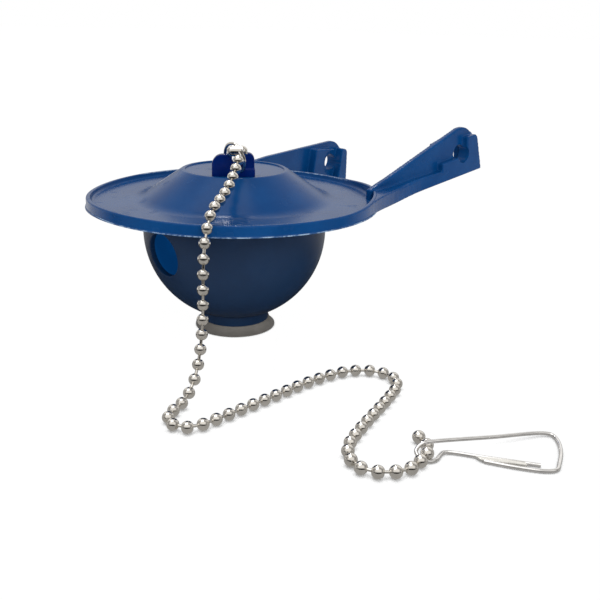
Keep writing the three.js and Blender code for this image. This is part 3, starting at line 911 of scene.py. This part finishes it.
def bend_arm(bm, side, rise, splay):
    """Bends a level arm up or down over its root, and turns it a little outwards."""
    for vert in bm.verts:
        x, y, z = vert.co
        past = max(x - BEND_START, 0)
        angle = math.radians(rise) * min(past / BEND_LENGTH, 1)
        curve = min(past, BEND_LENGTH)
        turn = angle or 1e-9
        offset = z - UNDERSIDE
        new_x = min(x, BEND_START) + curve * math.sin(turn) / turn
        new_x += (past - curve) * math.cos(angle) - offset * math.sin(angle)
        new_z = UNDERSIDE + curve * (1 - math.cos(turn)) / turn
        new_z += (past - curve) * math.sin(angle) + offset * math.cos(angle)
        beyond = max(new_x - BEND_START - BEND_LENGTH / 2, 0)
        vert.co = (new_x, y + side * beyond * math.tan(math.radians(splay)), new_z)


# %% Arm shape
def arm_slabs(side, key):
    """The overlapping level slabs that make one arm."""
    top = [(WEB_START, WEB_START_HEIGHT), KNEE, *arc(*EAR, EAR_RADIUS, 104, 50, 14),
           (ARM_END - END_LEAN - 1, RIB_TOP), (ARM_END - END_LEAN, RIB_TOP - 1), (ARM_END, UNDERSIDE)]
    web = [(WEB_START, UNDERSIDE + 0.3), *top]
    rib_start = ARM_END - RIB_WIDTH
    rail = [(RAIL_START, UNDERSIDE), *RAIL_TOPS, (rib_start, RAIL_TOPS[-1][1]), (rib_start, UNDERSIDE)]
    block = [(BLOCK_START, UNDERSIDE), (BLOCK_START, BLOCK_TOP), (rib_start + 1, BLOCK_TOP),
             (rib_start + 1, UNDERSIDE)]
    rib = [(rib_start, UNDERSIDE), (rib_start - 0.4, RIB_TOP), (ARM_END - END_LEAN - 1, RIB_TOP),
           (ARM_END - END_LEAN, RIB_TOP - 1), (ARM_END, UNDERSIDE)]
    boss_radius = EAR_RADIUS - 2.9
    start = BOSS_START[key]
    boss = [(start, UNDERSIDE), (start, EAR[1] + boss_radius - 1.2), (BOSS_END, EAR[1] + boss_radius),
            (BOSS_END, UNDERSIDE)]
    inner_rib = [(INNER_RIB_START, UNDERSIDE), (INNER_RIB_START, INNER_RIB_TOP),
                 (ARM_END - END_LEAN - 1, INNER_RIB_TOP), (ARM_END - END_LEAN, INNER_RIB_TOP - 1), rib[-1]]
    inner = WEB_OUTER - WEB
    outer = WEB_OUTER + RAIL
    bm = bmesh.new()
    for outline, low, high in ((web, inner, WEB_OUTER), (rail, inner, outer), (block, inner, outer),
                               (rib, inner, outer), (boss, inner - BOSS, WEB_OUTER),
                               (inner_rib, inner - BOSS, WEB_OUTER)):
        if side < 0:
            low, high = -high, -low
        slab(bm, outline, low, high)
    return bm


def add_root_fillet(bm, side):
    """Where the rim runs out into the rail: a level plate, seen from above."""
    outer = WEB_OUTER + RAIL
    centre_y = outer + ROOT_FILLET
    centre_x = math.sqrt((DISC_RADIUS + ROOT_FILLET) ** 2 - centre_y ** 2)
    start = math.degrees(math.atan2(-centre_y, -centre_x))
    under_rim = DISC_RADIUS - 0.7
    outline = arc(centre_x, centre_y, ROOT_FILLET, start, -90, 12)
    outline += [(centre_x, WEB_OUTER - 1), (33.0, WEB_OUTER - 1)]
    outline += arc(0, 0, under_rim, 43, start + 180, 6)
    face = bm.faces.new([bm.verts.new((x, side * y, UNDERSIDE)) for x, y in outline])
    made = bmesh.ops.extrude_face_region(bm, geom=[face])["geom"]
    moved = [g for g in made if isinstance(g, bmesh.types.BMVert)]
    bmesh.ops.translate(bm, verts=moved, vec=(0, 0, RIM_TOP - 0.15 - UNDERSIDE))
    for vert in moved:
        vert.co.z += rim_rise(vert.co.x, vert.co.y)


def make_arm(name, side, key):
    bm = arm_slabs(side, key)
    add_root_fillet(bm, side)
    skin = melted(bm, 0.3, 3)
    reach, height = PIN[key]
    hole = rod((reach, side * WEB_OUTER, height), PIN_RADIUS[key], 20, (0, 1, 0), 64)
    skin = cut(skin, hole)
    recess_end = side * (WEB_OUTER - WEB - 0.05)
    recess = rod((RECESS[0], recess_end - side * BOSS, RECESS[1]), RECESS_RADIUS, 2 * BOSS, (0, 1, 0), 64)
    skin = cut(skin, recess)
    bend_arm(skin, side, RISE[key], SPLAY[key])
    return finished(skin, name, blue_rubber, sharp=60)


near_arm = make_arm("near_pin_arm", -1, "near")
far_arm = make_arm("far_pin_arm", 1, "far")


# %% Disc with its raised rim
FAR_LEFT = Vector((-1, 1)).normalized()
SAG_START = 36.0
SAG_OUT, SAG_DOWN = 1.1, 0.7


def sag_rim(bm):
    """The soft web hangs a little outwards and down, away from the arms."""
    for vert in bm.verts:
        radius = vert.co.xy.length
        edge = min(max((radius - SAG_START) / (DISC_RADIUS - SAG_START), 0), 1)
        if edge > 0:
            share = max(vert.co.xy.dot(FAR_LEFT) / radius, 0) ** 8 * edge * edge * (3 - 2 * edge)
            vert.co.xy *= 1 + SAG_OUT * share / radius
            vert.co.z -= SAG_DOWN * share
    return bm


def raise_rim(bm):
    """The rim grows taller towards the near arm, as the rail there is taller than the rim."""
    for vert in bm.verts:
        radius = vert.co.xy.length
        if radius > RIM_INNER - 1.2 and vert.co.z > WEB_TOP:
            share = min((vert.co.z - WEB_TOP) / (RIM_TOP - WEB_TOP), 1)
            vert.co.z += share * rim_rise(vert.co.x, vert.co.y)
    return bm


disc = finished(sag_rim(raise_rim(spun(disc_section(), 192))), "seat_disc", blue_rubber, sharp=50)
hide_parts("flapper_body")

# %% [markdown]
# ## The bulb
# The bulb is a thin hollow cup with an open neck below and a round hole in its side. Its section
# is spun, and one drill cuts the hole. The inside is a second material, another blue with a painted glow.

# %% Bulb
NECK_RADIUS = 10.8
NECK_BOTTOM = 2.8
HOLE_RADIUS = 6.7
HOLE_TURN = math.radians(180)
HOLE_DIP = math.radians(8)


def round_hole_edge(bm):
    """Rounds the drilled hole's outer edge, which catches a thin line of light."""
    centre = Vector((0, 0, BULB_CENTRE))
    edges = []
    for edge in bm.edges:
        outside = all(abs((v.co - centre).length - BULB_RADIUS) < 0.05 for v in edge.verts)
        if outside and len(edge.link_faces) == 2 and edge.calc_face_angle(0) > math.radians(50):
            edges.append(edge)
    edges = [e for e in edges if e.verts[0].co.x < -BULB_RADIUS / 2]
    bmesh.ops.bevel(bm, geom=edges, offset=0.22, segments=3, affect="EDGES", profile=0.5, material=-1)
    print("rounded", len(edges), "edges of the side hole")


def make_bulb():
    inner = BULB_RADIUS - BULB_WALL
    neck_inner = NECK_RADIUS - BULB_WALL
    low_out = math.degrees(-math.acos(NECK_RADIUS / BULB_RADIUS))
    low_in = math.degrees(-math.acos(neck_inner / inner))
    top_out = math.degrees(math.asin((BULB_TOP - BULB_CENTRE) / BULB_RADIUS))
    top_in = math.degrees(math.asin((BULB_TOP - BULB_CENTRE) / inner))
    outside = arc(0, BULB_CENTRE, BULB_RADIUS, low_out, top_out, 36)
    inside = arc(0, BULB_CENTRE, inner, top_in, low_in, 30)
    section = [(NECK_RADIUS, NECK_BOTTOM)] + outside + inside + [(neck_inner, NECK_BOTTOM)]
    section.append(section[0])
    shell = spun(section, 144)
    direction = Matrix.Rotation(HOLE_TURN, 3, "Z") @ Matrix.Rotation(HOLE_DIP, 3, "Y") @ Vector((1, 0, 0))
    drill = rod(Vector((0, 0, BULB_CENTRE)) + direction * BULB_RADIUS * 1.2, HOLE_RADIUS, BULB_RADIUS,
                direction, 96)
    bmesh.ops.recalc_face_normals(shell, faces=shell.faces)
    made = cut(shell, drill)
    round_hole_edge(made)
    piece = finished(made, "hollow_bulb", navy_plastic, sharp=30)
    piece.data.materials.append(glowing_inner_plastic)
    centre = Vector((AXIS_X, 0, BULB_CENTRE)) * MM
    points = piece.data.vertices
    for face in piece.data.polygons:
        farthest = max((points[i].co - centre).length for i in face.vertices)
        face.material_index = int(farthest < (inner + 0.05) * MM)
    return piece


bulb = make_bulb()
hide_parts("bulb")

# %% [markdown]
# ## The foot ring
# A pale grey ring flares out from the neck to the surface that it stands on. It is spun like the
# bulb, with a small round at its lower edge.

# %% Foot ring
FOOT_RADIUS = 12.9


def foot_section():
    inner = NECK_RADIUS - BULB_WALL
    top = NECK_RADIUS + SEAT_GAP
    flare = bezier((FOOT_RADIUS, 0.45), (top, NECK_BOTTOM / 2), (top, NECK_BOTTOM - 0.15), 10)
    section = [(inner, 0), (FOOT_RADIUS - 0.2, 0), (FOOT_RADIUS - 0.05, 0.12)] + flare
    section += [(top - 0.15, NECK_BOTTOM), (inner, NECK_BOTTOM), (inner, 0)]
    return section


foot = finished(spun(foot_section(), 128), "foot_flare_ring", grey_plastic, sharp=50)
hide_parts("foot_ring")

# %% [markdown]
# ## Floor, world and light
# The floor is a pale plane. To the camera it is nearly all its own white, so that the picture has
# a white ground with only a trace of shadow, and a painted contact shade where things touch it. To the
# object's diffuse light it is an ordinary pale surface, which sends light up under the disc; in reflections it
# shows greys, with a painted shadow under the object.

# %% Floor
TO_CAMERA = VIEW_TURN - YAW - math.pi / 2
CONTACT_SHADE_REACH = 1.6
# Greys that the floor shows in reflections, from behind the object to in front of it; the dark stretch right under
# the object is a painted shadow.
FLOOR_MIRRORED_WITH_SHADOW = ((0.26, 0.95), (0.34, 0.3), (0.4, 0.05), (0.46, 0.05), (0.51, 0.4), (0.68, 0.4), (0.92, 0.03))


def along_view(tree, vector):
    """How far a vector reaches towards the camera, and how far to either side."""
    answers = []
    for angle in (TO_CAMERA, TO_CAMERA + math.pi / 2):
        dot = node(tree, "ShaderNodeVectorMath", operation="DOT_PRODUCT")
        tree.links.new(vector, dot.inputs[0])
        dot.inputs[1].default_value = (math.cos(angle), math.sin(angle), 0)
        answers.append(dot.outputs["Value"])
    return answers[0], combined(tree, "ABSOLUTE", answers[1], 0)


def mapped_straight(tree, value, low, high):
    ranged = node(tree, "ShaderNodeMapRange")
    feed(tree, ranged, Value=value, From_Min=low, From_Max=high)
    return ranged.outputs["Result"]


def ramp(tree, value, stops):
    """Greys along a 0 to 1 value, a little warm."""
    colours = node(tree, "ShaderNodeValToRGB")
    tree.links.new(value, colours.inputs[0])
    elements = colours.color_ramp.elements
    while len(elements) < len(stops):
        elements.new(0.5)
    for element, (place, grey) in zip(elements, stops):
        element.position = place
        element.color = (grey, grey * 0.98, grey * 0.95, 1)
    return colours.outputs["Color"]


def make_floor():
    bpy.ops.mesh.primitive_plane_add(size=12, location=(0, 0, -0.00002))
    floor = bpy.context.object
    floor.name = "floor"
    material = bpy.data.materials.new("pale_floor")
    material.use_nodes = True
    tree = material.node_tree
    tree.nodes.clear()
    diffuse = node(tree, "ShaderNodeBsdfDiffuse")
    diffuse.inputs["Color"].default_value = (0.86, 0.86, 0.86, 1)
    white = node(tree, "ShaderNodeEmission")
    white.inputs["Strength"].default_value = 1.03
    where = node(tree, "ShaderNodeTexCoord").outputs["Object"]
    near = along_view(tree, where)[0]
    # In reflections the floor shows these greys, with a painted shadow under the object.
    shade = ramp(tree, mapped_straight(tree, near, -0.2, 0.3), FLOOR_MIRRORED_WITH_SHADOW)
    mirrored = node(tree, "ShaderNodeEmission")
    feed(tree, mirrored, Color=shade)
    rays = node(tree, "ShaderNodeLightPath").outputs
    seen = combined(tree, "MAXIMUM", rays["Is Camera Ray"], rays["Is Transmission Ray"])
    # Ambient occlusion paints a contact shade: near the beads, the wires and the foot the white gives way to the
    # floor's lit grey.
    contact_shade = node(tree, "ShaderNodeAmbientOcclusion", samples=4)
    feed(tree, contact_shade, Distance=CONTACT_SHADE_REACH * MM)
    seen = combined(tree, "MULTIPLY", seen, mapped(tree, contact_shade.outputs["AO"], 0.35, 0.8))
    first = node(tree, "ShaderNodeMixShader")
    tree.links.new(rays["Is Glossy Ray"], first.inputs[0])
    tree.links.new(diffuse.outputs[0], first.inputs[1])
    tree.links.new(mirrored.outputs[0], first.inputs[2])
    mix = node(tree, "ShaderNodeMixShader")
    tree.links.new(combined(tree, "MULTIPLY", seen, 0.96), mix.inputs[0])
    tree.links.new(first.outputs[0], mix.inputs[1])
    tree.links.new(white.outputs[0], mix.inputs[2])
    out = node(tree, "ShaderNodeOutputMaterial")
    tree.links.new(mix.outputs[0], out.inputs["Surface"])
    floor.data.materials.append(material)
    return floor


floor = make_floor()

# %% [markdown]
# The world is a white studio. Metal and glossy rubber also see the dark room behind the
# photographer, a low patch on the camera's side: it is what draws the dark band on each bead.

# %% World
SKY_MIRRORED = (
    (0.0, 0.02), (0.1, 0.03), (0.16, 0.85), (0.22, 1.0), (0.38, 1.0), (0.47, 0.4), (0.56, 0.35),
    (0.68, 0.8), (0.86, 1.0), (0.93, 1.0), (0.97, 0.4),
)


def make_world():
    world = bpy.data.worlds.new("studio")
    bpy.context.scene.world = world
    world.use_nodes = True
    tree = world.node_tree
    tree.nodes.clear()
    direction = node(tree, "ShaderNodeTexCoord").outputs["Generated"]
    near, aside = along_view(tree, direction)
    height = node(tree, "ShaderNodeSeparateXYZ")
    tree.links.new(direction, height.inputs[0])
    angle = combined(tree, "DIVIDE", combined(tree, "ARCTAN2", height.outputs["Z"], near), math.pi)
    over = ramp(tree, angle, SKY_MIRRORED)
    side = combined(tree, "MULTIPLY", mapped(tree, aside, 0.6, 0.95),
                    mapped(tree, height.outputs["Z"], 0.05, 0.15))
    mirror_colour = blended(tree, side, over, (0.32, 0.31, 0.30, 1))
    rays = node(tree, "ShaderNodeLightPath").outputs
    seen = combined(tree, "MAXIMUM", rays["Is Camera Ray"], rays["Is Transmission Ray"])
    mirrored = node(tree, "ShaderNodeBackground")
    feed(tree, mirrored, Color=mirror_colour, Strength=1.0)
    plain = node(tree, "ShaderNodeBackground")
    feed(tree, plain, Color=(1, 1, 1, 1), Strength=1.0)
    soft = node(tree, "ShaderNodeBackground")
    feed(tree, soft, Color=(0.96, 0.98, 1, 1), Strength=0.55)
    first = node(tree, "ShaderNodeMixShader")
    tree.links.new(rays["Is Glossy Ray"], first.inputs[0])
    tree.links.new(soft.outputs[0], first.inputs[1])
    tree.links.new(mirrored.outputs[0], first.inputs[2])
    second = node(tree, "ShaderNodeMixShader")
    tree.links.new(seen, second.inputs[0])
    tree.links.new(first.outputs[0], second.inputs[1])
    tree.links.new(plain.outputs[0], second.inputs[2])
    out = node(tree, "ShaderNodeOutputWorld")
    tree.links.new(second.outputs[0], out.inputs["Surface"])


make_world()


# %% Lamps
def softbox(name, place, target, size, power):
    lamp = bpy.data.objects.new(name, bpy.data.lights.new(name, "AREA"))
    lamp.data.shape = "SQUARE"
    lamp.data.size = size
    lamp.data.energy = power
    lamp.location = place
    lamp.rotation_mode = "QUATERNION"
    lamp.rotation_quaternion = (Vector(target) - Vector(place)).to_track_quat("-Z", "Y")
    bpy.context.scene.collection.objects.link(lamp)
    return lamp


softbox("top_softbox", (-0.15, 0.1, 0.9), (0, 0, 0.03), 0.7, 2.5)
fill = softbox("front_softbox", (-0.4, -0.75, 0.35), (0, 0, 0.03), 0.6, 3.4)
fill.visible_glossy = False
behind = Vector((math.cos(TO_CAMERA + math.pi), math.sin(TO_CAMERA + math.pi), 0))
spark = softbox("edge_spark", behind * 0.5 + Vector((-0.1, 0, 0.6)), (0, 0, 0.04), 0.06, 0.5)
spark.visible_diffuse = False
bpy.context.scene.view_settings.view_transform = "Standard"
